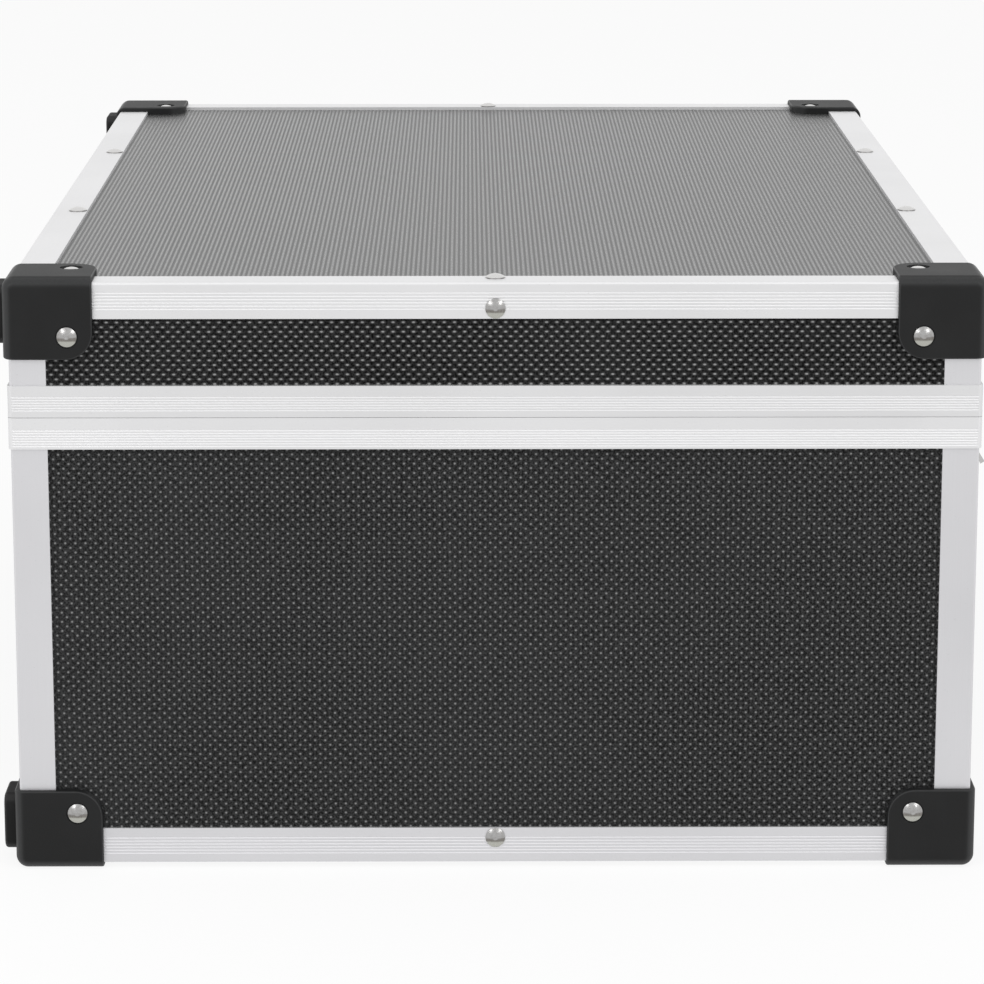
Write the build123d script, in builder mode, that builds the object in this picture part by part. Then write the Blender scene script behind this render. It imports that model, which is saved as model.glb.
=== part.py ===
from build123d import *
from math import atan2, degrees
import os

# A storage case for discs: laminated panels in an aluminium edge frame, with plastic corners,
# a lid on two rear hinges, two draw latches and a carrying handle. Millimetres. X runs along
# the length, the front with its latches faces -Y, the hinges and bumper feet face +Y, Z is up.
# The origin is on the floor under the middle of the case.

os.makedirs("parts", exist_ok=True)

# Outer faces of the aluminium frame
frame_length = 387.0
frame_width = 262.8
frame_height = 163.0
lid_height = 37.0

# Panels and the edge angles that lie on them
wall = 4.0
edge_gauge = 1.0
edge_width = 10.0
edge_round = 0.8
edge_gap = 0.2

# Fine V grooves along the edge angles and the mouth rims, whose places count from the outer edge
# or from the mouth
groove_depth = 0.12
groove_width = 0.5
edge_groove_pitch = 0.88
edge_grooves = 6
edge_groove_centre = 5.05
rim_groove_pitch = 0.72
lid_rim_grooves = 6
lid_rim_groove_centre = 3.8
body_rim_grooves = 7
body_rim_groove_centre = 5.6

# Mouth rims of body and lid, with a tongue on the body and a channel in the lid
seam_gap = 0.1
rim_height = 8.7
rim_gauge = 1.6
rim_web = 1.2
rim_inner_gauge = 0.8
rim_inner_depth = 7.0
rim_round = 1.6
tongue_width = 1.4
tongue_height = 1.5
tongue_play = 0.5

# Corner blocks and the bumper feet on the back ones
corner_proud = 1.5
corner_reach = 24.4
corner_rise = 22.5
corner_round = 3.4
corner_free_round = 7.5
corner_soft_edge = 0.6
corner_rivet_inset = 17.5
corner_rivet_rise = 16.2
foot_size = 16.0
foot_height = 3.6
foot_round = 3.0
foot_soft_edge = 0.9
foot_inset_along = 15.0
foot_inset_up = 11.5
foot_well_radius = 3.6
foot_well_depth = 1.6
corner_well_radius = 3.1
side_well_depth = 0.3
base_well_depth = 1.4
lid_well_depth = 1.1

# Rivets: large ones in the frame, small ones in the fittings
rivet_head_radius = 2.7
rivet_head_height = 1.2
rivet_shank_radius = 1.6
small_head_radius = 2.0
small_head_height = 0.9
small_shank_radius = 1.2
rivet_rim = 0.3
edge_rivet_clearance = 0.6

# Hinges
hinge_spread = 220.0
hinge_width = 44.0
joggle_gap = 0.3
joggle_slack = 0.1
hinge_leaf = 20.0
hinge_gauge = 1.0
hinge_knuckle_radius = 2.0
hinge_pin_radius = 1.0
hinge_play = 0.3
hinge_rivet_drop = 15.6
hinge_rivet_pitch = 15.0
knuckle_count = 5
pin_play = 0.05

# Draw latches, measured outward from the frame face and down from the seam
latch_spread = 250.0
latch_gauge = 1.2
latch_plate_width = 27.0
latch_plate_top = 1.0
latch_plate_drop = 28.0
latch_rivet_drop = 22.5
latch_rivet_pitch = 12.0
pivot_out = 4.8
pivot_drop = 7.0
pivot_radius = 1.0
pivot_head_radius = 1.6
pivot_head = 0.5
ear_radius = 1.9
ear_foot_top = 3.5
ear_foot_bottom = 2.5
lever_width = 22.0
lever_play = 0.2
lever_flange = 1.0
lever_plate_out = 5.2
lever_plate_top = 15.0
lever_plate_end = 20.8
lever_nose = 1.4
lever_back = 1.6
lever_heel = 2.2
lever_bend = 0.5
lip_out = 2.6
lip_drop = 4.0
lip_bevel = 0.7
link_out = 3.9
link_drop = 13.0
link_play = 0.3
link_eye_radius = 1.45
link_pin_radius = 0.8
keeper_width = 20.0
keeper_top = 17.0
keeper_start = 1.5
keeper_rivet_rise = 14.0
ledge_rise = 5.0
ledge_reach = 1.2
hook_clearance = 0.3
hook_tip_clearance = 0.2

# Carrying handle
handle_below_seam = 39.0
handle_pitch = 96.0
handle_pivot_out = 5.1
handle_thickness = 9.0
handle_arm = 9.0
handle_drop = 36.0
handle_bar = 16.0
handle_outer_round = 12.0
handle_inner_round = 5.0
handle_soft_edge = 2.4
handle_flat = 0.05
handle_pin_radius = 1.5
handle_play = 0.3
bracket_length = 36.0
bracket_width = 13.0
bracket_gauge = 1.2
bracket_round = 4.0
bracket_lug = 2.5
bracket_lug_radius = 4.2
bracket_rivet_pitch = 27.0

# Linings and the divider
foam_clearance = 0.3
base_foam_thickness = 3.0
lid_foam_thickness = 6.0
foam_round = 1.2
divider_thickness = 1.6
divider_below_seam = 27.2
channel_gauge = 1.0
channel_depth = 6.0
channel_play = 0.15

# Levels and half sizes that follow from the sizes above
half_length = frame_length / 2
half_width = frame_width / 2
frame_bottom = corner_proud
frame_top = frame_bottom + frame_height
seam = frame_top - lid_height
body_mouth = seam - seam_gap / 2
lid_mouth = seam + seam_gap / 2
panel_half_length = half_length - edge_gauge
panel_half_width = half_width - edge_gauge
panel_bottom = frame_bottom + edge_gauge
panel_top = frame_top - edge_gauge
inner_half_length = panel_half_length - wall
inner_half_width = panel_half_width - wall
floor_top = panel_bottom + wall
ceiling = panel_top - wall
edge_rivet_inset = edge_gauge + wall + rivet_shank_radius + edge_rivet_clearance
handle_height = seam - handle_below_seam
rim_proud = rim_gauge - edge_gauge
channel_cut = tongue_height + tongue_play
lid_rim_web = channel_cut + rim_web
hinge_out = rim_proud + hinge_play + hinge_knuckle_radius
cut_margin = 1.0
tolerance = 0.01

sides = ("front", "back", "left", "right")
outward = {
    "front": Vector(0, -1, 0),
    "back": Vector(0, 1, 0),
    "left": Vector(-1, 0, 0),
    "right": Vector(1, 0, 0),
}
corners = {
    "front_left": (-1, -1),
    "front_right": (1, -1),
    "back_left": (-1, 1),
    "back_right": (1, 1),
}
up = Vector(0, 0, 1)


def save(piece, name):
    """Label a finished piece and write it as its own node."""
    piece.part.label = name
    export_step(piece.part, f"parts/{name}.step")


def reach(side):
    """Distance from the middle of the case to the frame face of a side."""
    return half_width if side in ("front", "back") else half_length


def half_run(side):
    """Half the length of a side, along the frame face."""
    return half_length if side in ("front", "back") else half_width


def along_dir(side):
    """Unit vector along a side, to the right as seen from outside."""
    return up.cross(outward[side])


def wall_plane(side, along, height, out=0.0):
    """Plane on a side, z outward and y up, at a distance out from the frame face."""
    origin = outward[side] * (reach(side) + out) + along_dir(side) * along + up * height
    return Plane(origin=origin, x_dir=along_dir(side), z_dir=outward[side])


def section_plane(side, along, height, rise=1):
    """Plane across a side: x is outward from the frame face, y is up, or down for rise -1."""
    origin = outward[side] * reach(side) + along_dir(side) * along + up * height
    return Plane(origin=origin, x_dir=outward[side], z_dir=outward[side].cross(up * rise))


def bar(x, y, z, mode=Mode.ADD):
    """Box between two coordinates on each axis."""
    centre = (sum(x) / 2, sum(y) / 2, sum(z) / 2)
    with Locations(centre):
        Box(abs(x[1] - x[0]), abs(y[1] - y[0]), abs(z[1] - z[0]), mode=mode)


def v_grooves(outer, centre, count, pitch):
    """Cut a band of V grooves into the outer side of a section, below its upper corner."""
    steps = [centre + (i - (count - 1) / 2) * pitch for i in range(count)]
    with Locations(*[(outer, -step) for step in steps]):
        Polygon(
            (-groove_depth, 0),
            (groove_depth, groove_width),
            (groove_depth, -groove_width),
            mode=Mode.SUBTRACT,
        )


class Rivet:
    """A rivet site: half of the case, face it is on, plane of its seat, shank length, size.

    A rivet that is sunk has a well, given by its radius and depth.
    """

    def __init__(self, half, face, seat, depth, well=None, small=False):
        self.half = half
        self.face = face
        self.seat = seat
        self.depth = depth
        self.well = well
        self.shank_radius = small_shank_radius if small else rivet_shank_radius
        self.head_radius = small_head_radius if small else rivet_head_radius
        self.head_height = small_head_height if small else rivet_head_height


def level_plane(x, y, half, out):
    """Plane on the underside of the base or the upper side of the lid, z outward."""
    if half == "lid":
        return Plane(origin=(x, y, frame_top + out), x_dir=(1, 0, 0), z_dir=(0, 0, 1))
    return Plane(origin=(x, y, frame_bottom - out), x_dir=(1, 0, 0), z_dir=(0, 0, -1))


def edge_level(half, inset, out=0.0):
    """Height of a point an inset away from the frame's lower or upper edge."""
    return frame_top + out - inset if half == "lid" else frame_bottom - out + inset


def frame_rivets():
    """Rivets through the corner blocks and along the edge angles, on both halves."""
    found = []
    through = edge_gauge + wall
    for half, level_well_depth in (("body", base_well_depth), ("lid", lid_well_depth)):
        for side in sides:
            run = half_run(side)
            for end in (-1, 1):
                if side == "back":
                    along = end * (run + corner_proud - foot_inset_along)
                    height = edge_level(half, foot_inset_up, corner_proud)
                    well = (foot_well_radius, foot_well_depth)
                    out = corner_proud + foot_height - foot_well_depth
                else:
                    along = end * (run + corner_proud - corner_rivet_inset)
                    height = edge_level(half, corner_rivet_rise, corner_proud)
                    well = (corner_well_radius, side_well_depth)
                    out = corner_proud - side_well_depth
                seat = wall_plane(side, along, height, out)
                found.append(Rivet(half, side, seat, through + out, well))
            steps = (-frame_length / 6, frame_length / 6) if run == half_length else (0.0,)
            for along in steps:
                seat = wall_plane(side, along, edge_level(half, edge_rivet_inset))
                found.append(Rivet(half, side, seat, through))
                spot = outward[side] * (reach(side) - edge_rivet_inset) + along_dir(side) * along
                found.append(Rivet(half, "level", level_plane(spot.X, spot.Y, half, 0), through))
        out = corner_proud - level_well_depth
        for sx, sy in corners.values():
            x = sx * (half_length + corner_proud - corner_rivet_inset)
            y = sy * (half_width + corner_proud - corner_rivet_inset)
            well = (corner_well_radius, level_well_depth)
            found.append(Rivet(half, "level", level_plane(x, y, half, out), through + out, well))
    return found


def fitting_rivets():
    """Small rivets that hold the hinges, latches and handle brackets."""
    found = []
    through = edge_gauge + wall
    hinge_face = hinge_gauge - edge_gauge
    latch_face = latch_gauge - edge_gauge
    bracket_face = bracket_gauge - edge_gauge
    for sx in (-1, 1):
        for step in (-hinge_rivet_pitch, 0, hinge_rivet_pitch):
            along = sx * hinge_spread / 2 + step
            for half, height in (("body", seam - hinge_rivet_drop), ("lid", seam + hinge_rivet_drop)):
                seat = wall_plane("back", along, height, hinge_face)
                found.append(Rivet(half, "back", seat, through + hinge_face, small=True))
        for end in (-1, 1):
            along = sx * latch_spread / 2 + end * latch_rivet_pitch / 2
            for half, height in (("body", seam - latch_rivet_drop), ("lid", seam + keeper_rivet_rise)):
                seat = wall_plane("front", along, height, latch_face)
                found.append(Rivet(half, "front", seat, through + latch_face, small=True))
            along = sx * handle_pitch / 2 + end * bracket_rivet_pitch / 2
            seat = wall_plane("front", along, handle_height, bracket_face)
            found.append(Rivet("body", "front", seat, through + bracket_face, small=True))
    return found


all_rivets = frame_rivets() + fitting_rivets()


def drill(half, *faces):
    """Cut the shank holes and wells of the rivets on some faces into the piece at hand."""
    inward = (Align.CENTER, Align.CENTER, Align.MAX)
    outward_from_seat = (Align.CENTER, Align.CENTER, Align.MIN)
    for site in all_rivets:
        if site.half == half and site.face in faces:
            with Locations(site.seat.location):
                Cylinder(site.shank_radius, site.depth, align=inward, mode=Mode.SUBTRACT)
                if site.well:
                    Cylinder(*site.well, align=outward_from_seat, mode=Mode.SUBTRACT)


def rivet_solid(site):
    """One domed rivet at its seat."""
    dome = site.head_height - rivet_rim
    sphere = (site.head_radius**2 + dome**2) / (2 * dome)
    start = degrees(atan2(rivet_rim - site.head_height + sphere, site.head_radius))
    with BuildPart() as rivet:
        with BuildSketch(Plane.XZ):
            with BuildLine():
                CenterArc((0, site.head_height - sphere), sphere, start, 90 - start)
                Polyline(
                    (0, site.head_height),
                    (0, -site.depth),
                    (site.shank_radius, -site.depth),
                    (site.shank_radius, 0),
                    (site.head_radius, 0),
                    (site.head_radius, rivet_rim),
                )
            make_face()
        revolve(axis=Axis.Z)
    return rivet.part.moved(site.seat.location)


def make_rivets(half):
    """All rivets of one half of the case."""
    solids = [rivet_solid(site) for site in all_rivets if site.half == half]
    with BuildPart() as rivets:
        add(solids)
    save(rivets, f"{half}_rivets")


def make_panels():
    """Laminated panels: a base, a top, and four walls for each half."""
    with BuildPart() as base:
        x = (-inner_half_length, inner_half_length)
        y = (-inner_half_width, inner_half_width)
        bar(x, y, (panel_bottom, floor_top))
        drill("body", "level")
    save(base, "base_panel")
    with BuildPart() as top:
        bar(x, y, (ceiling, panel_top))
        drill("lid", "level")
    save(top, "lid_top_panel")
    levels = {
        "body": (panel_bottom, body_mouth - rim_web),
        "lid": (lid_mouth + lid_rim_web, panel_top),
    }
    for half, z in levels.items():
        for side in sides:
            with BuildPart() as panel:
                if side in ("front", "back"):
                    s = outward[side].Y
                    x = (-panel_half_length, panel_half_length)
                    y = (s * inner_half_width, s * panel_half_width)
                else:
                    s = outward[side].X
                    x = (s * inner_half_length, s * panel_half_length)
                    y = (-inner_half_width, inner_half_width)
                bar(x, y, z)
                drill(half, side)
            save(panel, f"{half}_{side}_panel")


def angle_section(grooved):
    """Section of an edge angle with its outer corner at the origin and its flanges behind it."""
    Polygon(
        (0, 0),
        (-edge_width, 0),
        (-edge_width, -edge_gauge),
        (-edge_gauge, -edge_gauge),
        (-edge_gauge, -edge_width),
        (0, -edge_width),
    )
    tip = vertices().sort_by(lambda v: v.X + v.Y)[-1]
    fillet(tip, edge_round)
    if grooved:
        v_grooves(0, edge_groove_centre, edge_grooves, edge_groove_pitch)


def make_edges():
    """Edge angles under the base and over the lid, and the uprights between them and the rims."""
    for half, name, height, rise in (
        ("body", "base", frame_bottom, -1),
        ("lid", "lid", frame_top, 1),
    ):
        for side in sides:
            shorten = edge_width + edge_gap if side in ("left", "right") else 0
            with BuildPart() as edge:
                with BuildSketch(section_plane(side, 0, height, rise)):
                    angle_section(grooved=True)
                extrude(amount=half_run(side) - shorten, both=True)
                drill(half, side, "level")
            save(edge, f"{name}_edge_{side}")
    levels = {
        "body": (frame_bottom + edge_width + edge_gap, body_mouth - rim_height),
        "lid": (lid_mouth + rim_height, frame_top - edge_width - edge_gap),
    }
    for half, z in levels.items():
        with BuildPart() as uprights:
            for sx, sy in corners.values():
                origin = (sx * half_length, sy * half_width, z[0])
                plane = Plane(origin=origin, x_dir=(sx, 0, 0), z_dir=(0, 0, sx * sy))
                with BuildSketch(plane):
                    angle_section(grooved=False)
                extrude(amount=(z[1] - z[0]) * sx * sy)
        save(uprights, f"{half}_uprights")


def rim_section(half):
    """Section of a mouth rim, x outward from the frame face and y out of the mouth."""
    outer = rim_proud
    skin = -edge_gauge
    lining = skin - wall
    inner = lining - rim_inner_gauge
    middle = skin - wall / 2
    web = rim_web if half == "body" else lid_rim_web
    Polygon(
        (outer, 0),
        (outer, -rim_height),
        (skin, -rim_height),
        (skin, -web),
        (lining, -web),
        (lining, -rim_inner_depth),
        (inner, -rim_inner_depth),
        (inner, 0),
    )
    if half == "body":
        v_grooves(outer, body_rim_groove_centre, body_rim_grooves, rim_groove_pitch)
        with Locations((middle, tongue_height / 2)):
            Rectangle(tongue_width, tongue_height)
    else:
        v_grooves(outer, lid_rim_groove_centre, lid_rim_grooves, rim_groove_pitch)
        with Locations((middle, -channel_cut / 2)):
            Rectangle(tongue_width + 2 * tongue_play, channel_cut, mode=Mode.SUBTRACT)


def make_rims():
    """Mitred rims round the mouths of body and lid."""
    for half, height, rise in (("body", body_mouth, 1), ("lid", lid_mouth, -1)):
        for side in sides:
            out = outward[side]
            with BuildPart() as rim:
                with BuildSketch(section_plane(side, 0, height, rise)):
                    rim_section(half)
                extrude(amount=half_run(side) + rim_gauge, both=True)
                for end in (-1, 1):
                    run = along_dir(side) * end
                    corner = out * reach(side) + run * half_run(side)
                    split(bisect_by=Plane(origin=corner, z_dir=run - out), keep=Keep.BOTTOM)
                with BuildSketch(Plane.XY.offset(seam - edge_width)):
                    RectangleRounded(frame_length + 2 * rim_proud, frame_width + 2 * rim_proud, rim_round)
                extrude(amount=2 * edge_width, mode=Mode.INTERSECT)
            save(rim, f"{half}_rim_{side}")


def make_corners():
    """Plastic corner blocks: three rounded flanges that cover the ends of the edge angles."""
    for half in ("body", "lid"):
        z_out = edge_level(half, 0, corner_proud)
        z_in = edge_level(half, corner_rise, corner_proud)
        z_deep = edge_level(half, corner_rise + cut_margin, corner_proud)
        z_frame = edge_level(half, 0)
        z_edge = edge_level(half, edge_width)
        z_skin = edge_level(half, edge_gauge)
        for name, (sx, sy) in corners.items():
            x_out = sx * (half_length + corner_proud)
            y_out = sy * (half_width + corner_proud)
            x_in = x_out - sx * corner_reach
            y_in = y_out - sy * corner_reach
            tip = Vector(x_out, y_out, z_out)
            root = Vector(x_in, y_in, z_in)
            with BuildPart() as block:
                bar((x_in, x_out), (y_in, y_out), (z_in, z_out))
                sharp = [e for e in block.edges() if touches(e, tip)]
                fillet(sharp, corner_round)
                sharp = [e for e in block.edges() if touches(e, root)]
                fillet(sharp, corner_free_round)
                fillet(free_edges(block, tip, root), corner_soft_edge)
                x_skin = (x_in - sx * cut_margin, sx * panel_half_length)
                y_skin = (y_in - sy * cut_margin, sy * panel_half_width)
                x_edge = (sx * (half_length - edge_width), sx * half_length)
                y_edge = (sy * (half_width - edge_width), sy * half_width)
                bar(x_skin, y_skin, (z_deep, z_skin), mode=Mode.SUBTRACT)
                bar(x_edge, y_edge, (z_deep, z_frame), mode=Mode.SUBTRACT)
                bar((x_skin[0], x_edge[1]), y_edge, (z_edge, z_frame), mode=Mode.SUBTRACT)
                bar(x_edge, (y_skin[0], y_edge[1]), (z_edge, z_frame), mode=Mode.SUBTRACT)
                beside_x = "right" if sx > 0 else "left"
                beside_y = "back" if sy > 0 else "front"
                drill(half, beside_x, beside_y, "level")
            save(block, f"{half}_corner_{name}")


def touches(edge, point):
    """True where an edge starts or ends at a point."""
    return min((edge @ 0 - point).length, (edge @ 1 - point).length) < tolerance


def free_edges(block, tip, root):
    """Edges where the outer face of each flange meets its free sides, which lie by the root."""
    found = []
    for face in block.faces().filter_by(GeomType.PLANE):
        if min(abs(c) for c in face.center() - tip) < tolerance:
            for edge in face.edges():
                if min(abs(c) for c in edge.center() - root) < corner_free_round:
                    found.append(edge)
    return found


def make_feet():
    """Bumper feet on the back corners, each held by a rivet in a well."""
    for half in ("body", "lid"):
        height = edge_level(half, foot_inset_up, corner_proud)
        with BuildPart() as feet:
            for end in (-1, 1):
                along = end * (half_length + corner_proud - foot_inset_along)
                with BuildSketch(wall_plane("back", along, height, corner_proud)):
                    RectangleRounded(foot_size, foot_size, foot_round)
                extrude(amount=foot_height)
            face = feet.faces().filter_by(Axis.Y).sort_by(Axis.Y)[-2:]
            fillet(face.edges(), foot_soft_edge)
            drill(half, "back")
        save(feet, f"{half}_feet")


def joggled_plate(start, end, gauge):
    """Section of a pressed plate that lies on the rim, then steps down onto the panel."""
    skin = -edge_gauge
    step = -(seam_gap / 2 + rim_height + joggle_gap)
    drop = rim_gauge + joggle_slack
    Polygon(
        (rim_proud, start),
        (rim_proud + gauge, start),
        (rim_proud + gauge, step - gauge / 2),
        (skin + gauge, step - drop - gauge / 2),
        (skin + gauge, end),
        (skin, end),
        (skin, step - drop),
        (rim_proud, step),
    )


def knuckle_spans():
    """Centre and half length of each hinge knuckle, along the pin."""
    length = (hinge_width - (knuckle_count - 1) * hinge_play) / knuckle_count
    pitch = length + hinge_play
    return [((i - (knuckle_count - 1) / 2) * pitch, length / 2) for i in range(knuckle_count)]


def make_hinges():
    """Two butt hinges: joggled leaves with interleaved knuckles on one pin."""
    clear = hinge_knuckle_radius + hinge_play + joggle_slack
    for half, rise, first, bore in (
        ("body", 1, 0, hinge_pin_radius),
        ("lid", -1, 1, hinge_pin_radius + pin_play),
    ):
        with BuildPart() as leaves:
            for end in (-1, 1):
                middle = end * hinge_spread / 2
                with BuildSketch(section_plane("back", middle, seam, rise)):
                    joggled_plate(-clear, -hinge_leaf, hinge_gauge)
                extrude(amount=hinge_width / 2, both=True)
                for offset, half_span in knuckle_spans()[first::2]:
                    with BuildSketch(section_plane("back", middle + offset, seam, rise)):
                        Polygon((rim_proud, 0), (hinge_out, 0), (hinge_out, -clear), (rim_proud, -clear))
                        with Locations((hinge_out, 0)):
                            Circle(hinge_knuckle_radius)
                            Circle(bore, mode=Mode.SUBTRACT)
                    extrude(amount=half_span, both=True)
            drill(half, "back")
        save(leaves, f"hinge_leaves_{half}")
    with BuildPart() as pins:
        for end in (-1, 1):
            with BuildSketch(section_plane("back", end * hinge_spread / 2, seam)):
                with Locations((hinge_out, 0)):
                    Circle(hinge_pin_radius)
            extrude(amount=hinge_width / 2, both=True)
    save(pins, "hinge_pins")


def make_latch_plates():
    """Latch base plates with their ears, on the body, and keepers with a ledge, on the lid."""
    with BuildPart() as plates:
        for end in (-1, 1):
            middle = end * latch_spread / 2
            with BuildSketch(section_plane("front", middle, seam)):
                joggled_plate(-latch_plate_top, -latch_plate_drop, latch_gauge)
            extrude(amount=latch_plate_width / 2, both=True)
            for ear in (-1, 1):
                offset = ear * (lever_width / 2 + lever_play + latch_gauge / 2)
                with BuildSketch(section_plane("front", middle + offset, seam)):
                    Polygon(
                        (rim_proud + latch_gauge / 2, -pivot_drop + ear_foot_top),
                        (pivot_out, -pivot_drop + ear_radius),
                        (pivot_out, -pivot_drop - ear_radius),
                        (rim_proud + latch_gauge / 2, -pivot_drop - ear_foot_bottom),
                    )
                    with Locations((pivot_out, -pivot_drop)):
                        Circle(ear_radius)
                        Circle(pivot_radius, mode=Mode.SUBTRACT)
                extrude(amount=latch_gauge / 2, both=True)
        drill("body", "front")
    save(plates, "latch_plates")
    face = rim_proud + latch_gauge
    with BuildPart() as keepers:
        for end in (-1, 1):
            with BuildSketch(section_plane("front", end * latch_spread / 2, seam, -1)):
                joggled_plate(-keeper_start, -keeper_top, latch_gauge)
                Polygon(
                    (face - latch_gauge / 2, -ledge_rise),
                    (face + ledge_reach, -ledge_rise),
                    (face + ledge_reach, -ledge_rise - latch_gauge),
                    (face - latch_gauge / 2, -ledge_rise - latch_gauge),
                )
            extrude(amount=keeper_width / 2, both=True)
        drill("lid", "front")
    save(keepers, "latch_keepers")


def make_latch_levers():
    """Levers with side flanges and a curled lip, their pivots, and the hook links they carry."""
    inner = lever_width / 2 - lever_flange
    outer_face = lever_plate_out + latch_gauge
    for name, end in (("left", -1), ("right", 1)):
        middle = end * latch_spread / 2
        with BuildPart() as lever:
            with BuildSketch(section_plane("front", middle, seam)):
                Polygon(
                    (lever_plate_out, -lever_plate_top),
                    (outer_face, -lever_plate_top),
                    (outer_face, -lever_plate_end),
                    (outer_face + lip_out, -lever_plate_end - lip_drop),
                    (outer_face + lip_out - latch_gauge, -lever_plate_end - lip_drop - lip_bevel),
                    (lever_plate_out, -lever_plate_end - lever_bend),
                )
            extrude(amount=lever_width / 2, both=True)
            for flange in (-1, 1):
                offset = flange * (inner + lever_flange / 2)
                with BuildSketch(section_plane("front", middle + offset, seam)):
                    Polygon(
                        (pivot_out - lever_back, -pivot_drop + lever_nose),
                        (outer_face, -pivot_drop + lever_nose),
                        (outer_face, -lever_plate_end),
                        (lever_plate_out, -lever_plate_end - lever_bend),
                        (link_out - lever_nose, -link_drop - lever_heel),
                        (link_out - lever_back, -link_drop + lever_bend),
                    )
                    with Locations((pivot_out, -pivot_drop)):
                        Circle(pivot_radius + pin_play, mode=Mode.SUBTRACT)
                    with Locations((link_out, -link_drop)):
                        Circle(link_pin_radius, mode=Mode.SUBTRACT)
                extrude(amount=lever_flange / 2, both=True)
        save(lever, f"latch_lever_{name}")
        with BuildPart() as pin:
            with BuildSketch(section_plane("front", middle, seam)):
                with Locations((link_out, -link_drop)):
                    Circle(link_pin_radius)
            extrude(amount=lever_width / 2, both=True)
        save(pin, f"latch_link_pin_{name}")
        ledge_top = ledge_rise + latch_gauge
        link_inner = link_out - latch_gauge / 2
        hook_end = rim_proud + latch_gauge + hook_tip_clearance
        with BuildPart() as link:
            with BuildSketch(section_plane("front", middle, seam)):
                with Locations((link_out, -link_drop)):
                    Circle(link_eye_radius)
                Polygon(
                    (link_inner, -link_drop),
                    (link_inner, ledge_top + hook_clearance),
                    (hook_end, ledge_top + hook_clearance),
                    (hook_end, ledge_top + hook_clearance + latch_gauge),
                    (link_inner + latch_gauge, ledge_top + hook_clearance + latch_gauge),
                    (link_inner + latch_gauge, -link_drop),
                )
                with Locations((link_out, -link_drop)):
                    Circle(link_pin_radius + pin_play, mode=Mode.SUBTRACT)
            extrude(amount=inner - link_play, both=True)
        save(link, f"latch_link_{name}")
    with BuildPart() as pivots:
        for end in (-1, 1):
            for ear in (-1, 1):
                ear_face = lever_width / 2 + lever_play + latch_gauge
                along = end * latch_spread / 2
                stub = (ear_face - inner) / 2
                with BuildSketch(section_plane("front", along + ear * (inner + stub), seam)):
                    with Locations((pivot_out, -pivot_drop)):
                        Circle(pivot_radius)
                extrude(amount=stub, both=True)
                with BuildSketch(section_plane("front", along + ear * (ear_face + pivot_head / 2), seam)):
                    with Locations((pivot_out, -pivot_drop)):
                        Circle(pivot_head_radius)
                extrude(amount=pivot_head / 2, both=True)
    save(pivots, "latch_pivots")


def make_handle():
    """Riveted brackets with lugs, pins, and a grip that hangs between them."""
    lug_middle = handle_arm / 2 + handle_play + bracket_lug / 2
    for name, end in (("left", -1), ("right", 1)):
        middle = end * handle_pitch / 2
        with BuildPart() as bracket:
            with BuildSketch(wall_plane("front", middle, handle_height, -edge_gauge)):
                RectangleRounded(bracket_length, bracket_width, bracket_round)
            extrude(amount=bracket_gauge)
            for lug in (-1, 1):
                with BuildSketch(section_plane("front", middle + lug * lug_middle, handle_height)):
                    with Locations(((handle_pivot_out - edge_gauge) / 2, 0)):
                        Rectangle(handle_pivot_out + edge_gauge, 2 * bracket_lug_radius)
                    with Locations((handle_pivot_out, 0)):
                        Circle(bracket_lug_radius)
                        Circle(handle_pin_radius, mode=Mode.SUBTRACT)
                extrude(amount=bracket_lug / 2, both=True)
            drill("body", "front")
        save(bracket, f"handle_bracket_{name}")
    with BuildPart() as pins:
        for end in (-1, 1):
            with BuildSketch(section_plane("front", end * handle_pitch / 2, handle_height)):
                with Locations((handle_pivot_out, 0)):
                    Circle(handle_pin_radius)
            extrude(amount=lug_middle + bracket_lug / 2, both=True)
    save(pins, "handle_pins")
    half_outer = handle_pitch / 2 + handle_arm / 2
    half_inner = handle_pitch / 2 - handle_arm / 2
    crown = handle_thickness / 2
    with BuildPart() as grip:
        with BuildSketch(wall_plane("front", 0, handle_height, handle_pivot_out - handle_thickness / 2)):
            Polygon(
                (-half_outer, crown),
                (-half_inner, crown),
                (-half_inner, handle_bar - handle_drop),
                (half_inner, handle_bar - handle_drop),
                (half_inner, crown),
                (half_outer, crown),
                (half_outer, -handle_drop),
                (-half_outer, -handle_drop),
            )
            low = vertices().group_by(Axis.Y)
            fillet(low[0], handle_outer_round)
            bend = vertices().filter_by(lambda v: abs(abs(v.X) - half_inner) < tolerance and v.Y < 0)
            fillet(bend, handle_inner_round)
        extrude(amount=handle_thickness)
        top = grip.edges().filter_by(Axis.X).group_by(Axis.Z)[-1]
        fillet(top, crown - handle_flat)
        low = handle_height - crown
        long_edges = grip.faces().filter_by(Axis.Y).edges()
        long_edges = long_edges.filter_by(lambda e: min((e @ 0).Z, (e @ 1).Z) < low)
        fillet(long_edges, handle_soft_edge)
        with BuildSketch(section_plane("front", 0, handle_height)):
            with Locations((handle_pivot_out, 0)):
                Circle(handle_pin_radius + pin_play)
        extrude(amount=half_outer + cut_margin, both=True, mode=Mode.SUBTRACT)
    save(grip, "handle_grip")


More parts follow.
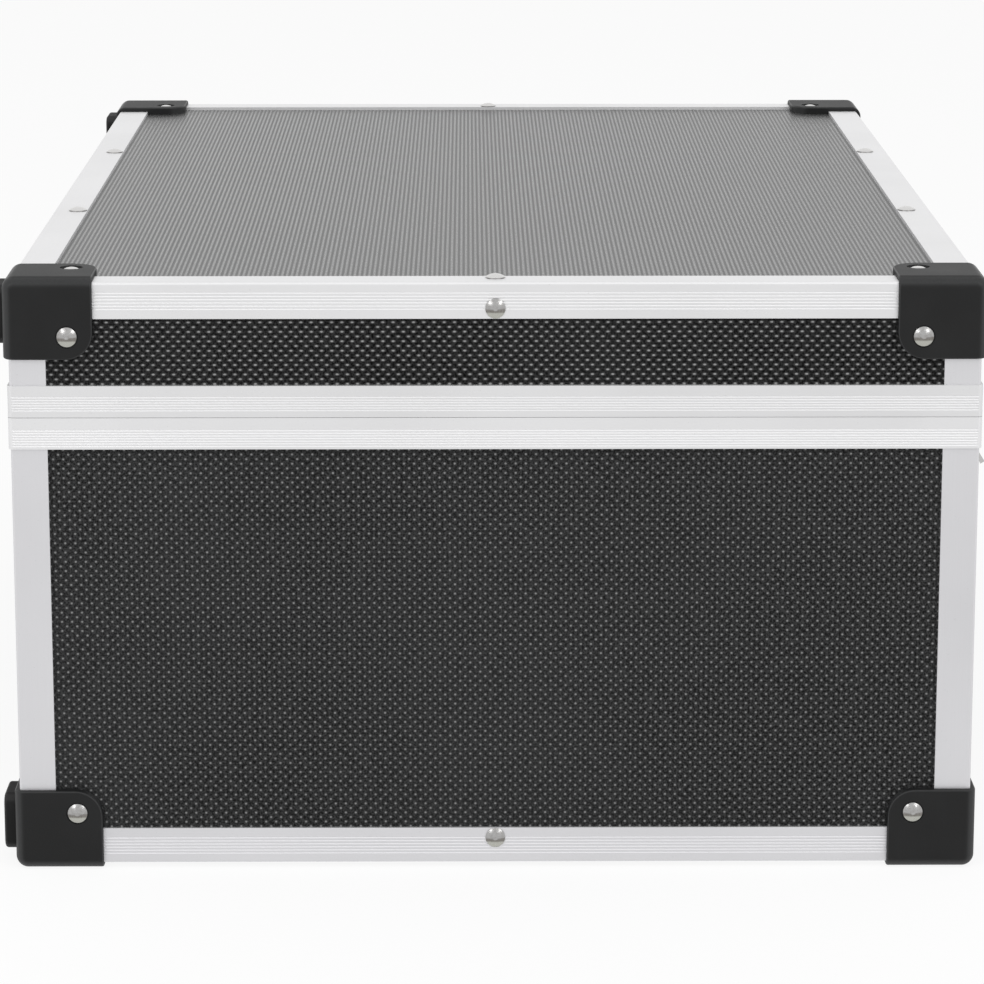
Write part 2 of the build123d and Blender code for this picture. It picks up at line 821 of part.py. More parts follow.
def make_linings():
    """Foam pads in base and lid, and the lengthwise divider in its end channels."""
    x = inner_half_length - foam_clearance
    y = inner_half_width - foam_clearance
    with BuildPart() as base_foam:
        bar((-x, x), (-y, y), (floor_top, floor_top + base_foam_thickness))
        fillet(base_foam.edges().group_by(Axis.Z)[-1], foam_round)
    save(base_foam, "base_foam")
    with BuildPart() as lid_foam:
        glued = ceiling - foam_clearance
        bar((-x, x), (-y, y), (glued - lid_foam_thickness, glued))
        fillet(lid_foam.edges().group_by(Axis.Z)[0], foam_round)
    save(lid_foam, "lid_foam")
    stand = floor_top + base_foam_thickness + foam_clearance
    z = (stand, seam - divider_below_seam)
    outer = divider_thickness / 2 + channel_play + channel_gauge
    slot = divider_thickness / 2 + channel_play
    with BuildPart() as channels:
        for s in (-1, 1):
            wall_x = s * inner_half_length
            tip_x = wall_x - s * channel_depth
            web_x = wall_x - s * channel_gauge
            bar((wall_x, tip_x), (-outer, outer), z)
            bar((web_x, tip_x), (-slot, slot), z, mode=Mode.SUBTRACT)
    save(channels, "divider_channels")
    with BuildPart() as divider:
        end = inner_half_length - channel_gauge - channel_play
        half_board = divider_thickness / 2
        bar((-end, end), (-half_board, half_board), z)
    save(divider, "divider")


make_panels()
make_edges()
make_rims()
make_corners()
make_feet()
make_hinges()
make_latch_plates()
make_latch_levers()
make_handle()
make_linings()
make_rivets("body")
make_rivets("lid")
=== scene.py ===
"""Looks of a disc storage case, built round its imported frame."""

import sys
import logging
import math
from dataclasses import dataclass
from enum import Enum

import bmesh
import bpy
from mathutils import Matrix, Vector


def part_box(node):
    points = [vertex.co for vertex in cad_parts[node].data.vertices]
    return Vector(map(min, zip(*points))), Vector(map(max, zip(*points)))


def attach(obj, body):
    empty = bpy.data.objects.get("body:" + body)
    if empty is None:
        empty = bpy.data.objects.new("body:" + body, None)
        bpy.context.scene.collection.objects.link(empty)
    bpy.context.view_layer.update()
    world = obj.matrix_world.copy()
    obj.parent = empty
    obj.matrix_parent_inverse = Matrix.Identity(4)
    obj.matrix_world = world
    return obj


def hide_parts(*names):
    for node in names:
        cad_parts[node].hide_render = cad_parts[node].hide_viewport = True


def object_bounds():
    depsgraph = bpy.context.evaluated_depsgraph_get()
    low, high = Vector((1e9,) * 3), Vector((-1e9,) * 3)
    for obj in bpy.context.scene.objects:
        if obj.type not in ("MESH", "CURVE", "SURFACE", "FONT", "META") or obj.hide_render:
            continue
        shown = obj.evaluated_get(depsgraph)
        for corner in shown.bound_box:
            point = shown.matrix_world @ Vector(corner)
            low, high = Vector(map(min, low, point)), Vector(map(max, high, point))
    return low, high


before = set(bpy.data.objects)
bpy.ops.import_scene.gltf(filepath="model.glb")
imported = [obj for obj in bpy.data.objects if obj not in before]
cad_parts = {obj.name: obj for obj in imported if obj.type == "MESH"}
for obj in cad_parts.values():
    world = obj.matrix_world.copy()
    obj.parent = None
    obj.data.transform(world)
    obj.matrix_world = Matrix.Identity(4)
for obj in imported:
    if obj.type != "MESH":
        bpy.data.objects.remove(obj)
cad_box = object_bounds()

log = logging.getLogger("disc_case")

MM = 0.001


class Axis(Enum):
    """One of the three directions of the case, by its place in a vector."""

    X = 0
    Y = 1
    Z = 2


class Body(Enum):
    """The bodies that pieces ride on."""

    CASE = "case"
    LID = "lid"


class Shade:
    """A socket of a node tree that takes part in arithmetic."""

    def __init__(self, graph: "Graph", socket: bpy.types.NodeSocket) -> None:
        """Keep the socket and the graph it belongs to.

        Args:
            graph: The graph that new Math nodes go into.
            socket: The output socket that carries the value.
        """
        self.graph = graph
        self.socket = socket

    def _math(self, operation: str, *values: "Shade | float") -> "Shade":
        """Add one Math node on some values."""
        node = self.graph.node("ShaderNodeMath", {"operation": operation}, dict(enumerate(values)))
        return Shade(self.graph, node.outputs[0])

    def __add__(self, other: "Shade | float") -> "Shade":
        """Sum of two values."""
        return self._math("ADD", self, other)

    __radd__ = __add__

    def __sub__(self, other: "Shade | float") -> "Shade":
        """Difference of two values."""
        return self._math("SUBTRACT", self, other)

    def __rsub__(self, other: float) -> "Shade":
        """A number less this value."""
        return self._math("SUBTRACT", other, self)

    def __mul__(self, other: "Shade | float") -> "Shade":
        """Product of two values."""
        return self._math("MULTIPLY", self, other)

    __rmul__ = __mul__

    def __truediv__(self, other: "Shade | float") -> "Shade":
        """Quotient of two values."""
        return self._math("DIVIDE", self, other)

    def __abs__(self) -> "Shade":
        """Size of this value without its sign."""
        return self._math("ABSOLUTE", self)

    def __gt__(self, limit: float) -> "Shade":
        """One where this value is over a limit, and zero elsewhere."""
        return self._math("GREATER_THAN", self, limit)

    def wrapped(self) -> "Shade":
        """Distance from the nearest whole number, from 0 to a half."""
        return 0.5 - abs(self._math("FRACT", self) - 0.5)

    def larger(self, other: "Shade | float") -> "Shade":
        """The larger of two values."""
        return self._math("MAXIMUM", self, other)

    def step(self, low: float, high: float) -> "Shade":
        """Smooth rise from 0 at one value to 1 at another.

        Args:
            low: Where the rise starts.
            high: Where it ends.

        Returns:
            The risen value, held at its ends.
        """
        settings = {"interpolation_type": "SMOOTHSTEP"}
        inputs = {"Value": self, "From Min": low, "From Max": high}
        return Shade(self.graph, self.graph.node("ShaderNodeMapRange", settings, inputs).outputs[0])


class Graph:
    """The node tree of one material or of the world."""

    def __init__(self, tree: bpy.types.NodeTree) -> None:
        """Empty a node tree and keep it.

        Args:
            tree: The tree to fill.
        """
        tree.nodes.clear()
        self.tree = tree

    def node(self, kind: str, settings: dict, inputs: dict) -> bpy.types.Node:
        """Add a node, set it up and feed its sockets.

        Args:
            kind: The node's type name.
            settings: Attributes that are set first.
            inputs: Socket name or number to a value, a Shade or an output socket.

        Returns:
            The new node.
        """
        made = self.tree.nodes.new(kind)
        for name, value in settings.items():
            setattr(made, name, value)
        for name, value in inputs.items():
            socket = made.inputs[name]
            if isinstance(value, Shade):
                value = value.socket
            if isinstance(value, bpy.types.NodeSocket):
                self.tree.links.new(value, socket)
            else:
                socket.default_value = value
        return made

    def place(self) -> tuple[Shade, Shade, Shade]:
        """The three coordinates of a point of the piece, in metres."""
        coordinates = self.node("ShaderNodeTexCoord", {}, {})
        parts = self.node("ShaderNodeSeparateXYZ", {}, {0: coordinates.outputs["Object"]})
        return tuple(Shade(self, out) for out in parts.outputs)

    def facing(self) -> tuple[Shade, Shade, Shade]:
        """The three parts of the direction that the piece's own surface faces."""
        coordinates = self.node("ShaderNodeTexCoord", {}, {})
        parts = self.node("ShaderNodeSeparateXYZ", {}, {0: coordinates.outputs["Normal"]})
        return tuple(Shade(self, out) for out in parts.outputs)

    def squareness(self) -> Shade:
        """One where the surface faces straight along an axis, and less where it is rounded."""
        x, y, z = self.facing()
        return abs(x).larger(abs(y)).larger(abs(z))

    def noise(self, scale: float, detail: float = 2.0, stretch: Vector = Vector((1, 1, 1))) -> Shade:
        """Noise over the piece.

        Args:
            scale: Features to the metre.
            detail: Finer layers added to the noise.
            stretch: Factor on each coordinate, small along a grain.

        Returns:
            The noise, from 0 to 1.
        """
        coordinates = self.node("ShaderNodeTexCoord", {}, {})
        factors = {0: coordinates.outputs["Object"], 1: stretch}
        scaled = self.node("ShaderNodeVectorMath", {"operation": "MULTIPLY"}, factors)
        inputs = {"Vector": scaled.outputs[0], "Scale": scale, "Detail": detail}
        return Shade(self, self.node("ShaderNodeTexNoise", {}, inputs).outputs["Fac"])

    def blend(self, factor: Shade, low: "Colour", high: "Colour") -> bpy.types.NodeSocket:
        """Mix two colours.

        Args:
            factor: Zero for the first colour and one for the second.
            low: The first colour.
            high: The second colour.

        Returns:
            The mixed colour.
        """
        # The factor is on input 0 and the colours on 6 and 7, and the mixed colour is output 2.
        inputs = {0: factor, 6: low, 7: high}
        return self.node("ShaderNodeMix", {"data_type": "RGBA"}, inputs).outputs[2]

    def bump(
        self, height: Shade, depth: float, under: bpy.types.NodeSocket | None = None
    ) -> bpy.types.NodeSocket:
        """Tilt the normal by a height.

        Args:
            height: Height of the surface, from 0 to 1.
            depth: What a height of 1 stands for, in metres.
            under: A normal that this one adds to.

        Returns:
            The tilted normal.
        """
        inputs = {"Height": height, "Distance": depth}
        if under is not None:
            inputs["Normal"] = under
        return self.node("ShaderNodeBump", {}, inputs).outputs[0]

    def surface(self, inputs: dict) -> None:
        """End the material in one Principled shader.

        Args:
            inputs: Socket name to a value or a link.
        """
        shader = self.node("ShaderNodeBsdfPrincipled", {}, inputs)
        self.node("ShaderNodeOutputMaterial", {}, {"Surface": shader.outputs[0]})


Colour = tuple[float, float, float, float]


def grey(value: float, warmth: float = 0.0) -> Colour:
    """A grey, a little warm or cool.

    Args:
        value: Its lightness, from 0 to 1.
        warmth: Share added to red and taken from blue.

    Returns:
        The colour with full alpha.
    """
    return (value * (1 + warmth), value, value * (1 - warmth), 1.0)


def new_graph(name: str) -> tuple[bpy.types.Material, Graph]:
    """A material with an empty node tree.

    Args:
        name: The material's name.

    Returns:
        The material and its graph.
    """
    material = bpy.data.materials.new(name)
    material.use_nodes = True
    return material, Graph(material.node_tree)


@dataclass(frozen=True)
class EmbossedSkin:
    """Black plastic skin pressed with half-offset rows of small studs, lined on its inner side.

    The height of the studs is 1 at a stud's top and 0 at its edge, and falls further below 0
    in the gaps. The studs' tops carry a painted highlight for the lamps' glints, and the studs
    and their feet a lighter painted sheen.
    A pair of numbers is where a smooth rise starts and where it ends.
    """

    name: str
    pitch_across: float = 2.76 * MM
    pitch_rows: float = 1.30 * MM
    stud_across: float = 0.55 * MM
    stud_rows: float = 0.52 * MM
    stud_height: float = 0.10 * MM
    # painted highlight on the studs' tops, standing for the lamps' glints: its rise, share and random
    # spread
    highlight_crown: tuple[float, float] = (0.50, 1.0)
    highlight_share: float = 0.55
    highlight_spread: float = 0.80
    # scale of the random spread of the painted highlight
    highlight_spread_scale: float = 900.0
    # painted sheen on the studs and round their feet: where it rises, and its share
    lit_foot: tuple[float, float] = (-0.6, 0.7)
    lit_foot_share: float = 0.8
    gap: tuple[float, float] = (0.12, 0.38)
    grain_scale: float = 2100.0
    grain_depth: float = 0.012 * MM
    grain_roughness: float = 0.08
    pits: tuple[float, float] = (0.32, 0.70)
    dust_scale: float = 14.0
    dust: tuple[float, float] = (0.35, 0.75)
    dust_share: float = 0.20
    dust_colour: Colour = grey(0.046, -0.03)
    pit_colour: Colour = grey(0.001)
    colour: Colour = grey(0.042, -0.01)
    # colour of the painted sheen on the studs and round their feet
    lit_foot_colour: Colour = grey(0.048, -0.01)
    # colour of the painted highlight on the studs' tops
    stud_highlight_colour: Colour = grey(0.23)
    lining_colour: Colour = grey(0.022, -0.02)
    lint_colour: Colour = grey(0.045, -0.02)
    stud_roughness: float = 0.26
    gap_roughness: float = 0.52
    lining_roughness: float = 0.9
    index: float = 1.49
    specular: float = 0.11

    def material(
        self, across: Axis, rows: Axis, through: Axis, middle: float, depth: float
    ) -> bpy.types.Material:
        """Make the finish of a panel.

        Args:
            across: Direction along a row of studs.
            rows: Direction from row to row.
            through: Direction through the panel.
            middle: Middle of the case in that direction.
            depth: Distance from the middle at which the lining gives way to the skin.

        Returns:
            The material.
        """
        made, graph = new_graph(f"{self.name}_{across.name}_{rows.name}")
        place = graph.place()
        u = place[across.value] / self.pitch_across
        v = place[rows.value] / (2 * self.pitch_rows)
        dome = self._dome(u, v).larger(self._dome(u + 0.5, v + 0.5))
        grain = graph.noise(self.grain_scale)
        outside = abs(place[through.value] - middle) > depth
        studs = graph.bump(outside * dome.larger(0.0), self.stud_height)
        inputs = {
            "Base Color": self._colour(graph, dome, grain, outside),
            "Roughness": self._roughness(u, grain, outside),
            "Normal": graph.bump(grain, self.grain_depth, studs),
            "IOR": self.index,
            "Specular IOR Level": self.specular,
        }
        graph.surface(inputs)
        return made

    def _colour(self, graph: Graph, dome: Shade, grain: Shade, outside: Shade) -> bpy.types.NodeSocket:
        """Colour of skin and lining, with the painted highlight and painted sheen of the studs.

        Args:
            graph: The material's graph.
            dome: Height of the studs.
            grain: Fine noise.
            outside: One on the skin and zero on the lining.

        Returns:
            The colour.
        """
        # noise that spreads the painted highlight unevenly from stud to stud
        spread_noise = graph.noise(self.highlight_spread_scale)
        cloud = graph.noise(self.dust_scale, detail=3.0)
        # painted highlight on the studs' tops, standing for the lamps' glints
        highlight_crown = dome.step(*self.highlight_crown) * (self.highlight_share + self.highlight_spread * spread_noise)
        # painted sheen on the studs and round their feet, lighter than the gaps
        lit_foot = dome.step(*self.lit_foot) * self.lit_foot_share
        ground = graph.blend(grain.step(*self.pits), self.pit_colour, self.colour)
        dusty = graph.blend(cloud.step(*self.dust) * self.dust_share, ground, self.dust_colour)
        skin = graph.blend(highlight_crown, graph.blend(lit_foot, dusty, self.lit_foot_colour), self.stud_highlight_colour)
        lining = graph.blend(grain, self.lining_colour, self.lint_colour)
        return graph.blend(outside, lining, skin)

    def _roughness(self, u: Shade, grain: Shade, outside: Shade) -> Shade:
        """Roughness of skin and lining, higher between the columns of studs than along them."""
        gap = (2 * u).wrapped().step(*self.gap)
        rise = self.gap_roughness - self.stud_roughness
        skin = self.stud_roughness + rise * gap + self.grain_roughness * grain
        return outside * skin + (1 - outside) * self.lining_roughness

    def _dome(self, u: Shade, v: Shade) -> Shade:
        """Height of the studs on one of the two lattices, 1 at a crown and 0 at its foot."""
        across = u.wrapped() * (self.pitch_across / self.stud_across)
        rows = v.wrapped() * (2 * self.pitch_rows / self.stud_rows)
        return 1 - (across * across + rows * rows)


@dataclass(frozen=True)
class Aluminium:
    """Satin anodised aluminium, drawn along one direction.

    Its lightness is multiplied by shadow in soft clouds, and by a painted highlight factor where the
    surface is less square than the given limits, on groove flanks and rounded edges.
    """

    name: str
    lightness: float
    tint: tuple[float, float, float] = (1.0, 0.998, 1.006)
    shadow: float = 0.90
    # painted highlight factor on groove flanks and rounded edges
    groove_highlight: float = 1.07
    rounded: tuple[float, float] = (0.90, 0.985)
    cloud_scale: float = 22.0
    cloud: tuple[float, float] = (0.3, 0.8)
    cloud_share: float = 0.5
    cloud_roughness: float = 0.06
    speck_scale: float = 1900.0
    speck: tuple[float, float] = (0.72, 0.80)
    speck_share: float = 0.25
    speck_colour: Colour = grey(0.45)
    roughness: float = 0.44
    streaks: float = 2600.0
    streak_stretch: float = 0.012
    streak_roughness: float = 0.12
    streak_depth: float = 0.012 * MM

    def material(self, grain: Axis) -> bpy.types.Material:
        """Make the finish of an extrusion.

        Args:
            grain: The direction it was drawn in.

        Returns:
            The material.
        """
        made, graph = new_graph(f"{self.name}_{grain.name}")
        plain, cloudy, highlighted = [
            tuple(share * self.lightness * part for part in self.tint) + (1.0,)
            for share in (1.0, self.shadow, self.groove_highlight)
        ]
        stretch = Vector((1, 1, 1))
        stretch[grain.value] = self.streak_stretch
        streak = graph.noise(self.streaks, detail=3.0, stretch=stretch)
        cloud = graph.noise(self.cloud_scale, detail=4.0)
        speck = graph.noise(self.speck_scale, detail=1.0)
        colour = graph.blend(cloud.step(*self.cloud) * self.cloud_share, plain, cloudy)
        # groove flanks and rounded edges painted lighter as a highlight
        colour = graph.blend(1 - graph.squareness().step(*self.rounded), colour, highlighted)
        colour = graph.blend(speck.step(*self.speck) * self.speck_share, colour, self.speck_colour)
        rough = self.roughness + self.streak_roughness * streak + self.cloud_roughness * cloud
        normal = graph.bump(streak, self.streak_depth)
        inputs = {"Base Color": colour, "Metallic": 1.0, "Roughness": rough, "Normal": normal}
        graph.surface(inputs)
        return made


@dataclass(frozen=True)
class MouldedPlastic:
    """Black moulded plastic with a fine spark-eroded grain and painted highlights on its edges."""

    name: str
    colour: Colour = grey(0.007, -0.02)
    dusty_colour: Colour = grey(0.014, -0.02)
    # colour of the painted highlight on rounded edges
    edge_highlight_colour: Colour = grey(0.045, -0.02)
    roughness: float = 0.46
    grain: float = 2300.0
    grain_depth: float = 0.035 * MM
    grain_roughness: float = 0.06
    patch_scale: float = 55.0
    patch: tuple[float, float] = (0.35, 0.8)
    patch_share: float = 0.6
    patch_roughness: float = 0.14
    rounded: tuple[float, float] = (0.84, 0.99)
    # painted highlight on rounded edges: its share and its spread by the grain; then the polish that
    # lowers their roughness
    edge_highlight_share: float = 0.35
    edge_highlight_grain: float = 0.5
    wear_polish: float = 0.12
    index: float = 1.47
    specular: float = 0.28

    def material(self) -> bpy.types.Material:
        """Make the finish of a moulding."""
        made, graph = new_graph(self.name)
        grain = graph.noise(self.grain, detail=3.0)
        patches = graph.noise(self.patch_scale, detail=3.0)
        edge = 1 - graph.squareness().step(*self.rounded)
        # rounded edges painted lighter as a highlight
        edge_highlight = edge * (self.edge_highlight_share + self.edge_highlight_grain * grain)
        dusty = patches.step(*self.patch) * self.patch_share
        colour = graph.blend(dusty, self.colour, self.dusty_colour)
        rough = self.roughness + self.patch_roughness * patches + self.grain_roughness * grain
        inputs = {
            "Base Color": graph.blend(edge_highlight, colour, self.edge_highlight_colour),
            "Roughness": rough - self.wear_polish * edge,
            "Normal": graph.bump(grain, self.grain_depth),
            "IOR": self.index,
            "Specular IOR Level": self.specular,
        }
        graph.surface(inputs)
        return made


@dataclass(frozen=True)
class Plating:
    """Bright nickel plate with faint scratches."""

    name: str
    colour: Colour = grey(0.55, 0.01)
    dull_colour: Colour = grey(0.46, 0.02)
    roughness: float = 0.22
    scratches: float = 700.0
    scratch_stretch: Vector = Vector((1, 6, 6))
    scratch_depth: float = 0.02 * MM
    tarnish: float = 260.0
    tarnish_and_dark_reflection: tuple[float, float] = (0.4, 0.75)
    tarnish_share: float = 0.5
    tarnish_roughness: float = 0.16

    def material(self) -> bpy.types.Material:
        """Make the finish of a plated piece."""
        made, graph = new_graph(self.name)
        tarnish = graph.noise(self.tarnish, detail=3.0)
        scratch = graph.noise(self.scratches, stretch=self.scratch_stretch)
        share = tarnish.step(*self.tarnish_and_dark_reflection) * self.tarnish_share
        colour = self._tint(graph, graph.blend(share, self.colour, self.dull_colour))
        rough = self.roughness + self.tarnish_roughness * tarnish
        normal = graph.bump(scratch, self.scratch_depth)
        graph.surface({"Base Color": colour, "Metallic": 1.0, "Roughness": rough, "Normal": normal})
        return made

    def _tint(self, graph: Graph, plain: bpy.types.NodeSocket) -> bpy.types.NodeSocket:
        """The plate's colour, left as it is."""
        return plain


@dataclass(frozen=True)
class RivetPlating(Plating):
    """Nickel plate on domed heads, with painted reflections and painted shade: a lighter foot for the
    floor, a lighter top where a head faces up, a streaky dark belt for the dark surround, and a shaded
    rim.

    The steepness of a head's surface is its part of the way up, from -1 to 1.
    """

    colour: Colour = grey(0.40, 0.01)
    dull_colour: Colour = grey(0.26, 0.04)
    # painted reflection of the floor on the lower part of each head
    floor_reflection_colour: Colour = (0.46, 0.46, 0.42, 1.0)
    # heads that face up, painted lighter as light from above
    lit_top_colour: Colour = grey(0.66, 0.01)
    # painted dark reflection of the surround in a belt across each head
    dark_reflection_colour: Colour = grey(0.15, 0.09)
    # painted shade in a ring at the rim of each head
    rim_shade_colour: Colour = grey(0.16, 0.03)
    roughness: float = 0.18
    scratches: float = 900.0
    tarnish: float = 1300.0
    # lower part of a head, painted lighter as a reflection of the floor
    lit_foot: tuple[float, float] = (-0.22, -0.06)
    # steepness at which a head counts as facing up and takes the painted light from above
    level: tuple[float, float] = (0.65, 0.78)
    # belt of painted dark reflection across each head: where it rises and falls, its share, and its
    # streaks
    dark_reflection_low: tuple[float, float] = (-0.30, -0.18)
    dark_reflection_high: tuple[float, float] = (-0.12, 0.04)
    dark_reflection_share: float = 0.50
    dark_reflection_streak: float = 0.6
    streak_scale: float = 3200.0
    streak_stretch: Vector = Vector((1, 1, 0.12))
    # squareness below which a head's rim takes the painted shade, and its share
    shaded_rim: tuple[float, float] = (0.80, 0.86)
    rim_shade_share: float = 0.7

    def _tint(self, graph: Graph, plain: bpy.types.NodeSocket) -> bpy.types.NodeSocket:
        """The plate's colour with painted light: a lighter foot reflecting the floor, a lighter top, a
        dark belt reflecting the surround, and a shaded rim.
        """
        up = graph.facing()[2]
        streak = graph.noise(self.streak_scale, stretch=self.streak_stretch)
        # lower part of each head painted lighter as a reflection of the floor
        colour = graph.blend(1 - up.step(*self.lit_foot), plain, self.floor_reflection_colour)
        # heads that face up painted lighter as light from above
        colour = graph.blend(up.step(*self.level), colour, self.lit_top_colour)
        # belt across each head painted darker as a streaked reflection of the dark surround
        dark_reflection_belt = up.step(*self.dark_reflection_low) * (1 - up.step(*self.dark_reflection_high))
        tarnish_and_dark_reflection = dark_reflection_belt * (self.dark_reflection_share + self.dark_reflection_streak * streak)
        colour = graph.blend(tarnish_and_dark_reflection, colour, self.dark_reflection_colour)
        # rim of each head painted darker as shade
        shaded_rim = 1 - graph.squareness().step(*self.shaded_rim)
        return graph.blend(shaded_rim * self.rim_shade_share, colour, self.rim_shade_colour)


@dataclass(frozen=True)
class FeltedFoam:
    """Black closed-cell foam with a soft felt face."""

    colour: Colour = grey(0.022, -0.02)
    tip_colour: Colour = grey(0.06, -0.02)
    fibre_scale: float = 1500.0
    fibre_depth: float = 0.12 * MM
    tips: tuple[float, float] = (0.35, 0.8)
    tuft_scale: float = 190.0
    tuft_depth: float = 0.35 * MM
    roughness: float = 0.95
    sheen: float = 0.25
    sheen_roughness: float = 0.5

    def material(self) -> bpy.types.Material:
        """Make the finish of a foam sheet."""
        made, graph = new_graph("felted_foam")
        fibres = graph.noise(self.fibre_scale, detail=5.0)
        tufts = graph.noise(self.tuft_scale, detail=3.0)
        soft = graph.bump(tufts, self.tuft_depth)
        inputs = {
            "Base Color": graph.blend(fibres.step(*self.tips), self.colour, self.tip_colour),
            "Roughness": self.roughness,
            "Normal": graph.bump(fibres, self.fibre_depth, soft),
            "Sheen Weight": self.sheen,
            "Sheen Roughness": self.sheen_roughness,
        }
        graph.surface(inputs)
        return made


def dress(nodes: list[str], material: bpy.types.Material) -> None:
    """Give some nodes of the frame one material.

    Args:
        nodes: Names of the nodes.
        material: What they are made of.
    """
    for name in nodes:
        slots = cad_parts[name].data.materials
        slots.clear()
        slots.append(material)
        log.info("dressed %s in %s", name, material.name)


@dataclass
class Panels:
    """The laminated panels of body and lid."""

    lining_depth: float = 0.6 * MM

    def build(self) -> None:
        """Dress every panel, with its rows of studs level."""
        wall = EmbossedSkin("wall_skin")
        # the lid strip wears the wall's sheet, with a darker ground as painted shade and lighter studs
        # as painted highlight
        strip_with_painted_light = EmbossedSkin(
            "lid_strip_skin",
            stud_across=0.80 * MM,
            stud_rows=0.46 * MM,
            highlight_crown=(0.52, 1.0),
            pit_colour=grey(0.0005),
            colour=grey(0.030),
            lit_foot_colour=grey(0.062),
            stud_highlight_colour=grey(0.31),
            specular=0.04,
        )
        # the level skin's lighter stud colours are the painted highlight and painted sheen of its
        # studs
        level = EmbossedSkin(
            "level_skin",
            pitch_across=2.64 * MM,
            stud_height=0.05 * MM,
            pit_colour=grey(0.010),
            colour=grey(0.040),
            lit_foot_colour=grey(0.060),
            stud_highlight_colour=grey(0.22),
            stud_roughness=0.21,
            gap_roughness=0.39,
            specular=0.62,
        )
        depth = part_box("body_front_panel")[1].x - self.lining_depth
        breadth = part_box("body_back_panel")[1].y - self.lining_depth
        for skin, half in ((wall, "body"), (strip_with_painted_light, "lid")):
            ends = skin.material(Axis.Y, Axis.Z, Axis.X, 0.0, depth)
            dress([f"{half}_left_panel", f"{half}_right_panel"], ends)
            flanks = skin.material(Axis.X, Axis.Z, Axis.Y, 0.0, breadth)
            dress([f"{half}_front_panel", f"{half}_back_panel"], flanks)
        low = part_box("base_panel")[0].z
        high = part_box("lid_top_panel")[1].z
        middle = (low + high) / 2
        flat = level.material(Axis.Y, Axis.X, Axis.Z, middle, high - middle - self.lining_depth)
        dress(["lid_top_panel", "base_panel"], flat)


@dataclass
class EdgeFrame:
    """The aluminium angles and mouth rims."""

    ends: tuple[str, ...] = ("left", "right")
    flanks: tuple[str, ...] = ("front", "back")
    cool_tint: tuple[float, float, float] = (1.0, 0.995, 1.018)

    def build(self) -> None:
        """Dress each extrusion with its grain along its length."""
        kinds = {
            "base_edge": Aluminium("base_edge_aluminium", lightness=0.685, tint=self.cool_tint),
            "lid_edge": Aluminium("lid_edge_aluminium", lightness=0.76),
            "body_rim": Aluminium("body_rim_aluminium", lightness=0.765),
            "lid_rim": Aluminium("lid_rim_aluminium", lightness=0.735),
        }
        for kind, finish in kinds.items():
            dress([f"{kind}_{side}" for side in self.ends], finish.material(Axis.Y))
            dress([f"{kind}_{side}" for side in self.flanks], finish.material(Axis.X))
        upright = Aluminium("upright_aluminium", lightness=0.68, tint=self.cool_tint)
        dress(["body_uprights", "lid_uprights"], upright.material(Axis.Z))


@dataclass
class Mouldings:
    """Corner blocks, bumper feet, handle and divider."""

    def build(self) -> None:
        """Dress every black moulding."""
        # each moulding's edge colour below is a painted highlight on its rounded edges
        corner = MouldedPlastic("corner_plastic")
        rubber = MouldedPlastic(
            "bumper_rubber",
            colour=grey(0.008),
            dusty_colour=grey(0.020),
            edge_highlight_colour=grey(0.035),
            roughness=0.62,
            grain=1500.0,
        )
        handle = MouldedPlastic(
            "handle_plastic",
            colour=grey(0.011),
            dusty_colour=grey(0.024),
            edge_highlight_colour=grey(0.050),
            roughness=0.40,
            grain=2600.0,
        )
        sheet = MouldedPlastic(
            "divider_plastic",
            colour=grey(0.016),
            dusty_colour=grey(0.028),
            edge_highlight_colour=grey(0.050),
            roughness=0.50,
            grain=1100.0,
        )
        dress([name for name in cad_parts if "_corner_" in name], corner.material())
        dress(["body_feet", "lid_feet"], rubber.material())
        dress(["handle_grip", "handle_bracket_left", "handle_bracket_right"], handle.material())
        dress(["divider", "divider_channels"], sheet.material())


@dataclass
class Metalwork:
    """Rivets, hinges, latches and pins."""

    def build(self) -> None:
        """Dress every plated piece."""
        dress(["body_rivets", "lid_rivets", "handle_pins"], RivetPlating("rivet_nickel").material())
        fittings = [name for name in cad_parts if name.startswith(("hinge_", "latch_"))]
        dress(fittings, Plating("plated_steel").material())


